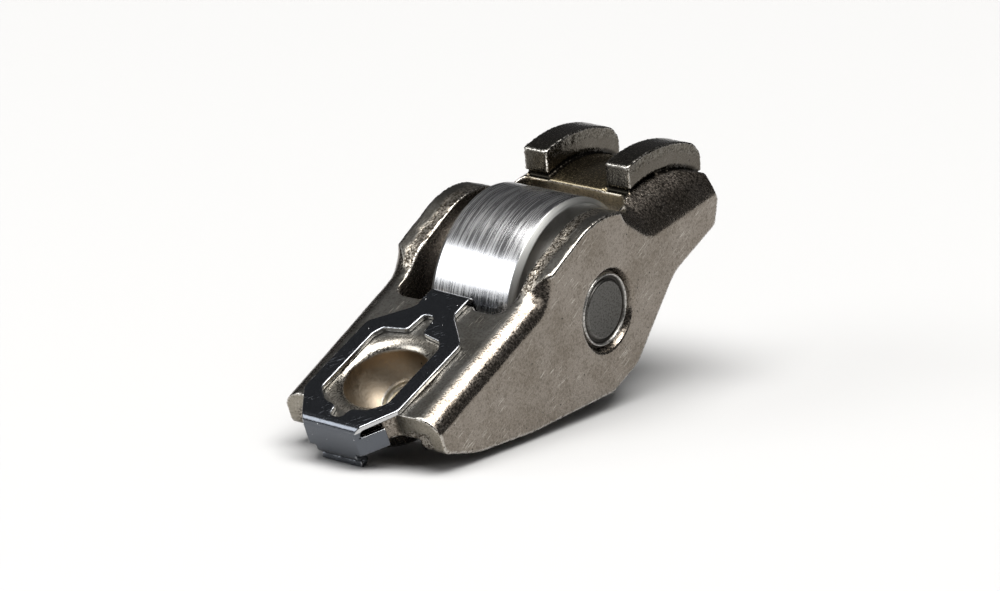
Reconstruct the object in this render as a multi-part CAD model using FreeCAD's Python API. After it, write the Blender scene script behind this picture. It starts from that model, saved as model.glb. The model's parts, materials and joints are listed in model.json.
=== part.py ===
"""Roller finger follower: the rocker arm of an engine's valve gear.

It is built in the lever's own axes, in millimetres: the origin is on the roller's axis,
X runs from the ball socket towards the valve, Y across the lever and Z up from the roller
to the web. At the end it is pitched and set down as it lies on a table, on the roller and
on the front lip of the clip.
"""
import FreeCAD, Part
import math
import os

from FreeCAD import Vector

# Pressed lever
half_width = 8.5
sheet = 2.5
bend_drop = 1.65
side_crease = 14.0
inner_bend = 0.4
web_top = 7.4
wall_front = -25.4
nose_front = -28.0
nose_front_half = 1.6
nose_back_half = 3.9
window_front_gap = 1.2
window_back_gap = 0.25
window_corner = 1.6
window_rear_corner = 1.2
tongue_length = 0.5
tongue_half = 2.5
tongue_taper = 0.7
tongue_corner = 0.35
ear_radius = 8.9
ear_start = -8.4
ear_front = -5.8
ear_front_slope = 4.0
ear_back_slope = 45.0
ear_root_radius = 2.0
ear_front_radius = 2.5
keel_bottom = -7.6
keel_front = -2.45
keel_back = 1.7
keel_front_radius = 0.3
keel_back_radius = 2.0
belly_x = -14.0
belly_z = -2.95
belly_radius = 30.0
chin_x = -21.5
chin_z = 0.8
chin_radius = 10.0
wall_foot = 3.8
wall_foot_radius = 0.8
heel_x = 9.9
heel_radius = 5.0
nose_edge = 0.5
nose_corner = 0.6
small_corner = 0.3
rear_bottom = -3.45
rear_foot = 16.9
rear_end = 19.8
rear_end_half = 5.0
rear_corner = 18.1
rear_corner_overhang = 0.4
rear_end_radius = 3.0
wall_corner = 0.4

# Valve end
pallet_x = 9.23
pallet_z = -8.25
pallet_radius = 13.2
pallet_end_angle = 38.8
pallet_edge = 0.5
shoulder_drop = 4.15
shoulder_start = 10.0
shoulder_height = 1.28
shoulder_slope = 0.27
tab_gap = 6.4
tab_width = 2.6
tab_seam = 0.22
tab_thinning = 0.05
tab_front_lean = 17.0
tab_front_x = 10.2
tab_front_z = 4.86
fold_angle = 47.2

# Stations of the outer skin, where its bends rise to the ears and fall to the shoulders:
# (X, height of the section above the long bends, or above the shoulders' start)
rise_start = -9.5
rise_stations = [(-8.2, 0.08), (-7.4, 0.4), (-6.6, 1.05), (-6.0, 1.73)]
ears_start = -5.2
ears_end = 5.0
ears_margin = 0.9
ears_edge = 0.5
valley_stations = [(5.6, 4.16), (6.6, 2.6), (7.65, 1.14), (8.7, 0.31)]

# Ball socket
socket_x = -20.85
ball_radius = 4.0
mouth_depth = 0.5
mouth_flare = 1.2
dome_wall = 2.0
dome_overlap = 0.5
relief_radius = 2.0
relief_depth = 4.1
relief_lean = 19.0
oil_hole_radius = 0.75

# Roller and its bearing
roller_radius = 9.6
roller_width = 9.2
roller_chamfer = 0.5
axle_radius = 3.5
needle_radius = 1.0
needle_play = 0.03
needle_gap = 0.01
side_play = 0.06
needle_end_play = 0.1
washer_radius = 6.8
washer_play = 0.02
stake_recess_radius = 3.95
stake_recess_depth = 0.45
axle_disc_radius = 2.9
axle_disc_depth = 0.15
axle_end_inset = 0.05

# Retaining clip
clip_sheet = 0.5
clip_bend = 0.6
clip_front = -28.8
clip_front_half = 2.9
clip_corner_front = -25.1
clip_corner_back = -15.5
clip_corner_half = 5.35
clip_neck_start = -12.3
clip_neck_half = 2.2
clip_back = -9.27
clip_tab_bottom = 5.9
clip_hole_half = 3.7
clip_hole_front = -26.3
clip_hole_back = -15.3
clip_slot_front = -27.6
clip_slot_back = -13.0
clip_slot_half = 0.6
clip_slot_end = 0.5
clip_slot_flare = 0.25
clip_slot_root = 0.4
clip_hole_shoulder = 0.5
clip_hole_back_half = 3.2
clip_hole_front_half = 2.4
clip_hole_side_back = -16.8
clip_hole_side_front = -24.6
clip_hole_corner = 1.0
clip_corner_radius = 1.2
clip_split = 5.0
clip_cut_depth = 0.1
wing_bottom = 4.9
wing_top = 6.8
wing_end = -26.4
wing_end_half = 4.45
lip_half = 2.25
lip_top = 4.25
lip_length = 1.15
lip_return = 0.75
lip_angle = 23.0
lip_spread = 0.66
clip_yaw = -3.0
clip_yaw_x = -11.0
clip_shift = 0.15

inner_half = half_width - sheet
web_bottom = web_top - sheet
window_front = -roller_radius - window_front_gap
window_back = roller_radius + window_back_gap
tongue_back = window_front + tongue_length
roller_half = roller_width / 2
washer_inside = roller_half + side_play
reach = 2 * (rear_end - nose_front)


def corner_arc(before, corner, after, radius):
    """Tangent points and mid point of the arc that rounds a corner of an outline."""
    to_before = (before - corner).normalize()
    to_after = (after - corner).normalize()
    half_angle = to_before.getAngle(to_after) / 2
    run = radius / math.tan(half_angle)
    start = corner + to_before * run
    end = corner + to_after * run
    centre_way = (to_before + to_after).normalize()
    middle = corner + centre_way * (radius / math.sin(half_angle) - radius)
    return start, middle, end


def rounded_wire(points, place):
    """Closed wire through points (u, v, radius), each corner rounded by its radius."""
    corners = [(place(u, v), radius) for u, v, radius in points]
    edges = []
    ends = []
    for i, (corner, radius) in enumerate(corners):
        before = corners[i - 1][0]
        after = corners[(i + 1) % len(corners)][0]
        if radius > 0:
            start, middle, end = corner_arc(before, corner, after, radius)
            edges.append(Part.Arc(start, middle, end).toShape())
        else:
            start = end = corner
            edges.append(None)
        ends.append((start, end))
    path = []
    for i, arc in enumerate(edges):
        if arc is not None:
            path.append(arc)
        here = ends[i][1]
        there = ends[(i + 1) % len(ends)][0]
        if here.distanceToPoint(there) > 1e-6:
            path.append(Part.LineSegment(here, there).toShape())
    return Part.Wire(path)


def side_prism(points, half):
    """Solid of an outline in the X-Z plane, from Y = -half to Y = +half."""
    face = Part.Face(rounded_wire(points, lambda x, z: Vector(x, -half, z)))
    return face.extrude(Vector(0, 2 * half, 0))


def plan_prism(points, low, high):
    """Solid of an outline in the X-Y plane, from Z = low to Z = high."""
    face = Part.Face(rounded_wire(points, lambda x, y: Vector(x, y, low)))
    return face.extrude(Vector(0, 0, high - low))


def mirrored(half_points):
    """Closed outline about Y = 0 from the points of its +Y half."""
    other = [(x, -y, radius) for x, y, radius in reversed(half_points)]
    return half_points + other


def box(low, high):
    size = [b - a for a, b in zip(low, high)]
    return Part.makeBox(size[0], size[1], size[2], Vector(*low))


def cylinder(radius, y_low, y_high, x=0.0, z=0.0):
    """Cylinder along Y."""
    return Part.makeCylinder(radius, y_high - y_low, Vector(x, y_low, z), Vector(0, 1, 0))


def strip_outline(path, thickness):
    """Outline of a bent sheet seen on edge, from its centre line of (u, v, bend radius)."""
    half = thickness / 2
    points = [Vector(u, v, 0) for u, v, radius in path]
    sides = {1: [], -1: []}
    for i, (u, v, radius) in enumerate(path):
        ways = []
        if i > 0:
            ways.append((points[i] - points[i - 1]).normalize())
        if i < len(path) - 1:
            ways.append((points[i + 1] - points[i]).normalize())
        normals = [Vector(-way.y, way.x, 0) for way in ways]
        mean = sum(normals, Vector()).normalize()
        spread = half / mean.dot(normals[0])
        turn = 0.0 if len(ways) == 1 else ways[0].cross(ways[1]).z
        for side in sides:
            spot = points[i] + mean * (side * spread)
            bend = 0.0
            if turn:
                bend = radius - math.copysign(half, turn * side)
            sides[side].append((spot.x, spot.y, bend))
    return sides[1] + sides[-1][::-1]


def lever_side():
    """Side outline of the lever: web, ear, crowned pallet and the lower edge of the wall."""
    pallet_top = pallet_z + pallet_radius
    end = math.radians(pallet_end_angle)
    crown_corner = pallet_x + pallet_radius * math.tan((math.pi / 2 - end) / 2)
    tip_x = pallet_x + pallet_radius * math.cos(end)
    tip_z = pallet_z + pallet_radius * math.sin(end)
    front = math.radians(ear_front_slope)
    back = math.radians(ear_back_slope)
    ear_front_top = (ear_radius + ear_front * math.sin(front)) / math.cos(front)
    ear_corner = ear_radius / math.cos((front + back) / 2)
    ear_lean = (back - front) / 2
    ear_end = (ear_radius - pallet_top * math.cos(back)) / math.sin(back)
    return [
        (nose_front, web_top, nose_edge),
        (ear_start, web_top, ear_root_radius),
        (ear_front, ear_front_top, ear_front_radius),
        (ear_corner * math.sin(ear_lean), ear_corner * math.cos(ear_lean), ear_radius),
        (ear_end, pallet_top, pallet_edge),
        (crown_corner, pallet_top, pallet_radius),
        (tip_x, tip_z, 0),
        (rear_foot, rear_bottom, nose_corner),
        (heel_x, rear_bottom, heel_radius),
        (keel_back, keel_bottom, keel_back_radius),
        (keel_front, keel_bottom, keel_front_radius),
        (belly_x, belly_z, belly_radius),
        (chin_x, chin_z, chin_radius),
        (wall_front, wall_foot, wall_foot_radius),
        (wall_front, web_bottom, 0),
        (nose_front, web_bottom, small_corner),
    ]


def skin_section(x, crease, top):
    """Cross-section of the lever's outside: coined flat sides, then from the crease an arc
    that turns over to the top."""
    lean = math.radians(side_crease)
    radius = (top - crease) / (1 - math.sin(lean))
    middle = (math.pi / 2 + lean) / 2
    low = -reach
    side = half_width
    inner = half_width - radius * math.cos(lean)
    bulge = inner + radius * math.cos(middle)
    bulge_top = top - radius * (1 - math.sin(middle))

    def spot(y, z):
        return Vector(x, y, z)

    edges = [
        Part.LineSegment(spot(-side, low), spot(-side, crease)),
        Part.Arc(spot(-side, crease), spot(-bulge, bulge_top), spot(-inner, top)),
        Part.LineSegment(spot(-inner, top), spot(inner, top)),
        Part.Arc(spot(inner, top), spot(bulge, bulge_top), spot(side, crease)),
        Part.LineSegment(spot(side, crease), spot(side, low)),
        Part.LineSegment(spot(side, low), spot(-side, low)),
    ]
    return Part.Wire([edge.toShape() for edge in edges])


def lever_skin():
    """Outer envelope of the pressing: long bends, plain ears, then the valve end's shoulders."""
    bend_start = web_top - bend_drop
    ears_top = ear_radius + ears_margin
    shoulder_top = shoulder_height + shoulder_drop
    front_end = skin_section(-reach, bend_start, web_top)
    front = Part.Face(front_end).extrude(Vector(reach + rise_start, 0, 0))
    rise = [skin_section(rise_start, bend_start, web_top)]
    for x, height in rise_stations:
        rise.append(skin_section(x, bend_start + height, web_top + height))
    rise.append(skin_section(ears_start, ears_top - ears_edge, ears_top))
    ears_end_face = Part.Face(skin_section(ears_start, ears_top - ears_edge, ears_top))
    ears = ears_end_face.extrude(Vector(ears_end - ears_start, 0, 0))
    valley = [skin_section(ears_end, ears_top - ears_edge, ears_top)]
    for x, height in valley_stations:
        valley.append(skin_section(x, shoulder_height + height, shoulder_top + height))
    last = skin_section(shoulder_start, shoulder_height, shoulder_top)
    valley.append(last)
    run = rear_end - shoulder_start + dome_wall
    shoulders = Part.Face(last).extrude(Vector(run, 0, -run * shoulder_slope))
    lofts = [Part.makeLoft(sections, True, True) for sections in (rise, valley)]
    return front.multiFuse(lofts + [ears, shoulders])


def channel_front():
    """Space under the web, between the walls, open at the front."""
    section = [
        (-inner_half, -reach, 0),
        (-inner_half, web_bottom, inner_bend),
        (inner_half, web_bottom, inner_bend),
        (inner_half, -reach, 0),
    ]
    face = Part.Face(rounded_wire(section, lambda y, z: Vector(-reach, y, z)))
    return face.extrude(Vector(reach + window_front + window_corner, 0, 0))


def window():
    """Opening through the web in which the roller turns, with a short tongue at its front."""
    half = [
        (window_back, inner_half, window_rear_corner),
        (window_front, inner_half, window_corner),
        (window_front, tongue_half + tongue_taper, tongue_corner),
        (tongue_back, tongue_half, tongue_corner),
    ]
    return plan_prism(mirrored(half), -reach, reach)


def channel_back():
    """Hollow under the crowned pallet, between the walls."""
    hollow = cylinder(pallet_radius - sheet, -inner_half, inner_half, pallet_x, pallet_z)
    start = window_back - 2 * window_rear_corner
    return hollow.common(box((start, -reach, -reach), (reach, reach, reach)))


def socket_profile(points):
    """Solid turned about the socket's vertical axis, from an outline of (radius, Z)."""
    edges = []
    for start, bulge, end in points:
        a = Vector(socket_x + start[0], 0, start[1])
        b = Vector(socket_x + end[0], 0, end[1])
        if bulge is None:
            edges.append(Part.LineSegment(a, b).toShape())
        else:
            edges.append(Part.Arc(a, Vector(socket_x + bulge[0], 0, bulge[1]), b).toShape())
    face = Part.Face(Part.Wire(edges))
    return face.revolve(Vector(socket_x, 0, 0), Vector(0, 0, 1), 360)


def socket_bowl():
    """Space of the ball head: a half sphere, its flared mouth, the relief and the oil hole."""
    centre = web_top - mouth_depth
    low = centre - ball_radius
    slant = math.sqrt(0.5)
    flare_radius = (mouth_flare ** 2 + mouth_depth ** 2) / (2 * mouth_depth)
    turn = math.asin(mouth_flare / flare_radius) / 2
    rim = ball_radius + mouth_flare
    flare_mid = (rim - flare_radius * math.sin(turn), web_top - flare_radius * (1 - math.cos(turn)))
    bowl = socket_profile([
        ((0, low), (ball_radius * slant, centre - ball_radius * slant), (ball_radius, centre)),
        ((ball_radius, centre), flare_mid, (rim, web_top)),
        ((rim, web_top), None, (rim, web_top + 5)),
        ((rim, web_top + 5), None, (0, web_top + 5)),
        ((0, web_top + 5), None, (0, low)),
    ])
    axis = Vector(0, 0, 1)
    relief_low = centre - relief_depth
    relief = Part.makeCylinder(relief_radius, relief_depth, Vector(socket_x, 0, relief_low), axis)
    oil_hole = Part.makeCylinder(oil_hole_radius, reach, Vector(socket_x, 0, centre - reach), axis)
    for cutter in (relief, oil_hole):
        cutter.rotate(Vector(socket_x, 0, centre), Vector(0, 1, 0), -relief_lean)
    return bowl.fuse(relief).fuse(oil_hole)


def socket_dome():
    """Half ball pressed down out of the web around the socket."""
    centre = web_top - mouth_depth
    dome = Part.makeSphere(ball_radius + dome_wall, Vector(socket_x, 0, centre))
    lower = box((-reach, -reach, -reach), (reach, reach, web_bottom + dome_overlap))
    return dome.common(lower)


def lever_plan():
    """Plan outline: tapered nose, walls square at the front, rear corners rounded off."""
    half = [
        (rear_end, rear_end_half, rear_end_radius),
        (rear_corner, half_width + rear_corner_overhang, 0),
        (rear_corner, reach, 0),
        (wall_front, reach, 0),
        (wall_front, nose_back_half, wall_corner),
        (nose_front, nose_front_half, nose_corner),
    ]
    return plan_prism(mirrored(half), -reach, reach)


def about_pallet(shape, angle, x=pallet_x, z=pallet_z):
    """A shape turned about Y, then moved to the pallet's centre or to another place."""
    shape.rotate(Vector(), Vector(0, 1, 0), angle)
    shape.translate(Vector(x, 0, z))
    return shape


def tab_band(y_low):
    """One guide tab: a tongue of the sheet folded back over the pallet."""
    y_high = y_low + tab_width
    outer = pallet_radius + sheet - tab_thinning
    inner = pallet_radius + tab_seam
    ring = cylinder(outer, y_low, y_high, pallet_x, pallet_z)
    ring = ring.cut(cylinder(inner, y_low - 1, y_high + 1, pallet_x, pallet_z))
    above = box((-reach, y_low - 1, 0), (reach, y_high + 1, reach))
    ring = ring.common(about_pallet(above, -fold_angle))
    keep = box((0, y_low - 1, -reach), (reach, y_high + 1, reach))
    ring = ring.common(about_pallet(keep, tab_front_lean, tab_front_x, tab_front_z))
    fold = math.radians(fold_angle)
    fold_radius = (outer - (pallet_radius - sheet)) / 2
    fold_middle = outer - fold_radius
    knuckle = cylinder(fold_radius, y_low, y_high, pallet_x + math.cos(fold) * fold_middle,
                       pallet_z + math.sin(fold) * fold_middle)
    below = box((-reach, y_low - 1, -reach), (reach, y_high + 1, 0))
    knuckle = knuckle.common(about_pallet(below, -fold_angle))
    return ring.fuse(knuckle)


def tab_relief(y_low, y_high):
    """Sheet cut away below the fold of a tab, so that the tongue folds off the end."""
    return about_pallet(box((0, y_low, -reach), (reach, y_high, 0)), -fold_angle)


def lever_body():
    """The lever: one pressing of thick sheet with its socket, walls, pallet and guide tabs."""
    body = side_prism(lever_side(), half_width)
    body = body.common(lever_plan())
    body = body.common(lever_skin())
    body = body.cut(channel_front())
    body = body.cut(window())
    body = body.cut(channel_back())
    body = body.fuse(socket_dome())
    body = body.cut(socket_bowl())
    tab_inside = tab_gap / 2
    tab_outside = tab_inside + tab_width
    for side in (-1, 1):
        low, high = sorted((side * tab_inside, side * inner_half))
        body = body.cut(tab_relief(low, high))
        body = body.fuse(tab_band(min(side * tab_inside, side * tab_outside)))
        recess_low = half_width - stake_recess_depth
        body = body.cut(cylinder(axle_radius, -half_width - 1, half_width + 1))
        recess = Part.makeCone(axle_radius, stake_recess_radius, stake_recess_depth,
                               Vector(0, side * recess_low, 0), Vector(0, side, 0))
        body = body.cut(recess)
    return body.removeSplitter()


def axle_pin():
    """Axle, pressed through both walls, each end with a raised ring round a flat disc."""
    end = half_width - axle_end_inset
    ring_width = axle_radius - axle_disc_radius
    pin = cylinder(axle_radius, -end, end)
    rims = [edge for edge in pin.Edges if edge.Length > 1.9 * math.pi * axle_radius]
    pin = pin.makeFillet(ring_width / 2, rims)
    for side in (-1, 1):
        low, high = sorted((side * (end - axle_disc_depth), side * (end + 1)))
        pin = pin.cut(cylinder(axle_disc_radius, low, high))
    return pin


def ring_race_radius():
    return axle_radius + 2 * needle_radius + 2 * needle_play


def needle_pitch_radius():
    return axle_radius + needle_play + needle_radius


def roller_ring():
    """Roller: a hardened ring that runs on the needles, with chamfered rims."""
    ring = cylinder(roller_radius, -roller_half, roller_half)
    rims = [edge for edge in ring.Edges if edge.Length > 1.9 * math.pi * roller_radius]
    ring = ring.makeChamfer(roller_chamfer, rims)
    bore = ring_race_radius()
    ring = ring.cut(cylinder(bore, -roller_half - 1, roller_half + 1))
    for side in (-1, 1):
        mouth = Part.makeCone(bore, bore + roller_chamfer / 2, roller_chamfer / 2,
                              Vector(0, side * (roller_half - roller_chamfer / 2), 0),
                              Vector(0, side, 0))
        ring = ring.cut(mouth)
    return ring


def thrust_washer(side):
    """Washer between a wall and the roller, which keeps the needles in."""
    low, high = sorted((side * washer_inside, side * inner_half))
    washer = cylinder(washer_radius, low, high)
    return washer.cut(cylinder(axle_radius + washer_play, low - 1, high + 1))


def needle_count():
    """As many needles as go round the axle with a small gap between each two."""
    step = 2 * math.asin((needle_radius + needle_gap / 2) / needle_pitch_radius())
    return int(2 * math.pi / step)


def needle_roller(index, count):
    """One needle, with rounded ends."""
    half = roller_half - needle_end_play / 2
    angle = 2 * math.pi * index / count
    pitch = needle_pitch_radius()
    needle = cylinder(needle_radius, -half, half, pitch * math.sin(angle), pitch * math.cos(angle))
    rims = [edge for edge in needle.Edges if edge.Length > 1.9 * math.pi * needle_radius]
    return needle.makeFillet(needle_radius * 0.25, rims)


def clip_lip():
    """Centre line of the front lip: back under the nose, round a hairpin and out again."""
    angle = math.radians(lip_angle)
    way = (math.cos(angle), -math.sin(angle))
    down = (-math.sin(angle), -math.cos(angle))
    face_x = clip_front + clip_sheet / 2
    turn = lip_spread / 2
    back = (face_x + way[0] * lip_length, lip_top + way[1] * lip_length)
    under = (back[0] + down[0] * lip_spread, back[1] + down[1] * lip_spread)
    free = (under[0] - way[0] * lip_return, under[1] - way[1] * lip_return)
    return [(face_x, lip_top, clip_bend), (*back, turn), (*under, turn), (*free, 0)]


def clip_side():
    """Side outline of the clip: rear tab, top, front face and lip, as one bent strip."""
    middle = web_top + clip_sheet / 2
    path = [
        (clip_back - clip_sheet / 2, clip_tab_bottom, 0),
        (clip_back - clip_sheet / 2, middle, clip_bend),
        (clip_front + clip_sheet / 2, middle, clip_bend),
    ]
    return strip_outline(path + clip_lip(), clip_sheet)


def clip_plan():
    half = [
        (reach, clip_neck_half, 0),
        (clip_neck_start, clip_neck_half, clip_corner_radius),
        (clip_corner_back, clip_corner_half, clip_corner_radius),
        (clip_corner_front, clip_corner_half, clip_corner_radius),
        (clip_front, clip_front_half, 0),
        (-reach, clip_front_half, 0),
    ]
    return mirrored(half)


def clip_hole():
    half = [
        (clip_slot_back, clip_slot_half, clip_slot_end),
        (clip_hole_back, clip_slot_half + clip_slot_flare, clip_slot_root),
        (clip_hole_back - clip_hole_shoulder, clip_hole_back_half, clip_slot_end),
        (clip_hole_side_back, clip_hole_half, clip_hole_corner),
        (clip_hole_side_front, clip_hole_half, clip_hole_corner),
        (clip_hole_front + clip_slot_root, clip_hole_front_half, clip_slot_end),
        (clip_hole_front, clip_slot_half + clip_slot_flare, clip_slot_root),
        (clip_slot_front, clip_slot_half, clip_slot_end),
    ]
    return mirrored(half)


def clip_wings():
    """Front face of the clip with the two wings bent back beside the nose."""
    face_x = clip_front + clip_sheet / 2
    path = [
        (wing_end, wing_end_half, 0),
        (face_x, clip_front_half, clip_bend),
        (face_x, -clip_front_half, clip_bend),
        (wing_end, -wing_end_half, 0),
    ]
    return plan_prism(strip_outline(path, clip_sheet), wing_bottom, wing_top)


def retaining_clip():
    """Spring clip that holds the ball head: bent from one thin sheet."""
    clip = side_prism(clip_side(), reach)
    clip = clip.common(plan_prism(clip_plan(), -reach, reach))
    clip = clip.cut(plan_prism(clip_hole(), web_top - clip_cut_depth, reach))
    for side in (-1, 1):
        low, high = sorted((side * lip_half, side * reach))
        beside_lip = box((-reach, low, -reach), (window_front - clip_split, high, wing_bottom))
        clip = clip.cut(beside_lip)
    clip = clip.fuse(clip_wings()).removeSplitter()
    clip.rotate(Vector(clip_yaw_x, 0, 0), Vector(0, 0, 1), clip_yaw)
    clip.translate(Vector(0, clip_shift, 0))
    return clip


def rest_pitch():
    """Angle between the lever's web and the table, from the roller and the lip's free edge."""
    free_x, free_z, _ = clip_lip()[-1]
    angle = math.radians(lip_angle)
    edge_x = free_x - math.sin(angle) * clip_sheet / 2
    edge_z = free_z - math.cos(angle) * clip_sheet / 2
    yaw = math.radians(clip_yaw)
    edge_x = clip_yaw_x + (edge_x - clip_yaw_x) * math.cos(yaw) + lip_half * math.sin(yaw)
    far = math.hypot(edge_x, edge_z)
    return math.degrees(math.asin(roller_radius / far) + math.atan2(edge_z, -edge_x))


def all_parts():
    parts = {
        "lever_body": lever_body(),
        "axle_pin": axle_pin(),
        "roller_ring": roller_ring(),
        "thrust_washer_near": thrust_washer(-1),
        "thrust_washer_far": thrust_washer(1),
        "retaining_clip": retaining_clip(),
    }
    count = needle_count()
    for index in range(count):
        parts[f"needle_roller_{index + 1:02d}"] = needle_roller(index, count)
    return parts


def set_down(parts):
    """Pitch the lever on to the table and put the origin under the middle of its box."""
    pitch = rest_pitch()
    for shape in parts.values():
        shape.rotate(Vector(), Vector(0, 1, 0), -pitch)
    around = Part.makeCompound(list(parts.values())).optimalBoundingBox(False, False)
    middle = (around.XMin + around.XMax) / 2
    for shape in parts.values():
        shape.translate(Vector(-middle, 0, roller_radius))
    print("pitch", round(pitch, 4), "axis at", round(-middle, 4), round(roller_radius, 4))
    print("box", around)


os.makedirs("parts", exist_ok=True)
model = all_parts()
set_down(model)
for name, shape in model.items():
    print(name, shape.ShapeType, len(shape.Solids), round(shape.Volume, 3), shape.isValid())
    shape.exportStep(f"parts/{name}.step")
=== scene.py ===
import json
import math

import bmesh
import bpy
import numpy as np
from mathutils import Matrix, Vector
from mathutils.bvhtree import BVHTree


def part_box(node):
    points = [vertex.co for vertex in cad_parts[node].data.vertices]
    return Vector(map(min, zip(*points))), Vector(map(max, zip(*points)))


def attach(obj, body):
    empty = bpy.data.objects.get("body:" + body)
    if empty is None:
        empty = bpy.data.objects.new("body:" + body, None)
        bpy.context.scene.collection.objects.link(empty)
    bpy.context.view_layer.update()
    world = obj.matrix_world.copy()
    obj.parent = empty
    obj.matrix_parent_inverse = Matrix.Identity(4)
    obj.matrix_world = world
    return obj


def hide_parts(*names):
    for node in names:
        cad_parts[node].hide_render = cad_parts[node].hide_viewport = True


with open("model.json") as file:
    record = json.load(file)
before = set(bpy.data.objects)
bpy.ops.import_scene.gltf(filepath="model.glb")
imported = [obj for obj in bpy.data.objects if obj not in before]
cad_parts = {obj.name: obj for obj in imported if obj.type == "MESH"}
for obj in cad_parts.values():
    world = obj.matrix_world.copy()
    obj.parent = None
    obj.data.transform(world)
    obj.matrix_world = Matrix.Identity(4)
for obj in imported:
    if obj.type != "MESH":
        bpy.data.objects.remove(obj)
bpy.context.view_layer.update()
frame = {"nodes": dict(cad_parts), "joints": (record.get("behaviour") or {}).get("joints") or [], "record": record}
scene = bpy.context.scene
MM = 0.001

# The view: a long lens from low on the socket's left, as the photograph was taken.
# Azimuth and height are the camera's direction from the part, in degrees.
view_azimuth = math.radians(-54.477)
view_height = math.radians(15.816)
view_roll = math.radians(0.657)
view_distance = 1.0089
view_target = Vector((0.00019, -0.00035, 0.01075))
lens_mm = 405.93


def direction(azimuth, height):
    """Unit vector from the part: azimuth from -Y towards +X, then height above the floor."""
    flat = math.cos(height)
    return Vector((math.sin(azimuth) * flat, -math.cos(azimuth) * flat, math.sin(height)))


def aimed(place, back, roll=0.0):
    """Matrix of a camera or lamp at a place, looking along -back, turned about its own line."""
    right = (-back).cross(Vector((0, 0, 1))).normalized()
    up = right.cross(-back)
    x = right * math.cos(roll) + up * math.sin(roll)
    y = up * math.cos(roll) - right * math.sin(roll)
    turned = Matrix((x, y, back)).transposed().to_4x4()
    return Matrix.Translation(place) @ turned


camera_data = bpy.data.cameras.new("camera")
camera_data.lens = lens_mm
camera_data.clip_start = 0.1
camera_data.clip_end = 20.0
camera = bpy.data.objects.new("camera", camera_data)
back = direction(view_azimuth, view_height)
camera.matrix_world = aimed(view_target + back * view_distance, back, view_roll)
scene.collection.objects.link(camera)
scene.camera = camera
scene.view_settings.view_transform = "Standard"

# The floor: a pale matt table that runs out of sight on every side.
floor_half = 6.0
floor_tone = (0.41, 0.41, 0.41, 1.0)
floor_roughness = 0.9


def new_material(name):
    """A material with its shader, and the shader's Principled node."""
    material = bpy.data.materials.new(name)
    material.use_nodes = True
    tree = material.node_tree
    tree.nodes.clear()
    shader = tree.nodes.new("ShaderNodeBsdfPrincipled")
    output = tree.nodes.new("ShaderNodeOutputMaterial")
    tree.links.new(shader.outputs["BSDF"], output.inputs["Surface"])
    return material, shader


floor_mesh = bpy.data.meshes.new("table")
corners = [(-1, -1, 0), (1, -1, 0), (1, 1, 0), (-1, 1, 0)]
floor_mesh.from_pydata([Vector(c) * floor_half for c in corners], [], [(0, 1, 2, 3)])
floor = bpy.data.objects.new("table", floor_mesh)
scene.collection.objects.link(floor)
floor_material, floor_shader = new_material("table")
floor_shader.inputs["Base Color"].default_value = floor_tone
floor_shader.inputs["Roughness"].default_value = floor_roughness
floor_mesh.materials.append(floor_material)

# The light: a dark room with one broad soft box overhead, a lower one beyond the socket and a
# weak one on the near side. Each lamp: name, azimuth, height and turn in degrees, width and
# length in metres, radiance, colour.
room_tone = (0.075, 0.075, 0.077, 1.0)
lamp_distance = 2.0
lamps = [
    ("top_box", -46.7, 80.9, 76.4, 1.38, 2.25, 11.0, (1.0, 0.99, 0.975)),
    ("far_box", -131.0, 27.0, 0.0, 1.2, 1.0, 5.0, (0.97, 0.985, 1.0)),
    ("near_box", -12.0, 42.0, 0.0, 1.2, 1.0, 1.2, (1.0, 0.99, 0.97)),
]

world = bpy.data.worlds.new("room")
world.use_nodes = True
world.node_tree.nodes["Background"].inputs["Color"].default_value = room_tone
scene.world = world
for name, azimuth, height, turn, width, depth, radiance, tone in lamps:
    lamp_data = bpy.data.lights.new(name, "AREA")
    lamp_data.shape = "RECTANGLE"
    lamp_data.size = width
    lamp_data.size_y = depth
    lamp_data.energy = radiance * math.pi * width * depth
    lamp_data.color = tone
    lamp = bpy.data.objects.new(name, lamp_data)
    away = direction(math.radians(azimuth), math.radians(height))
    lamp.matrix_world = aimed(away * lamp_distance, away, math.radians(turn))
    scene.collection.objects.link(lamp)

# Lever: one pressing of 2.5 mm sheet, folded to two walls, case-hardened, then tumbled and
# blasted. Its edges are worn round, and its cut faces have a torn zone that the punch left.
# Places on it are in its own axes, from the roller's axis: X to the valve, Z up from the web.
lever_voxel = 0.2 * MM
lever_smoothing = 3
merge_reach = 0.002 * MM
crest_reach = 0.02 * MM
sheet = 2.5 * MM
wall_outside = 8.5 * MM
wall_inside = wall_outside - sheet
wall_front = -25.4 * MM
front_depth = 0.3 * MM
front_skin = 0.05 * MM
web_top = 7.4 * MM
ear_rear = 8.0 * MM
ear_rise = 0.4 * MM
shoulder_middle = 7.5 * MM
shoulder_half = 1.5 * MM
pallet_middle = np.array([9.23, 0.0, -8.25]) * MM
pallet_radius = 13.2 * MM
pallet_skin = 0.08 * MM
pallet_fade = 0.07 * MM
pallet_front = 9.2 * MM
pallet_front_half = 0.9 * MM
tab_outside = 5.8 * MM
tab_inside = 3.2 * MM
tab_front = 9.6 * MM
tab_rise = 0.3 * MM
tab_torn_rise = 1.6 * MM
tab_foot_rise = 0.25 * MM
seam_middle = 0.11 * MM
seam_half = 0.2 * MM
seam_skin = 0.05 * MM
seam_fade = 0.17 * MM
seam_depth = 0.22 * MM
recess_radius = 3.7 * MM
recess_reach = 0.6 * MM
recess_depth = 0.28 * MM
flare_reach = 5.3 * MM
flare_low = 5.9 * MM
bowl_middle = np.array([-20.85, 0.0, 6.9]) * MM
bowl_radius = 4.0 * MM
bowl_skin = 0.01 * MM
bowl_rim_depth = 0.9 * MM
sump_radius = 2.0 * MM
sump_edge_half = 0.06 * MM
sump_lean = math.radians(19.0)
torn_outside = 7.15 * MM
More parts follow.
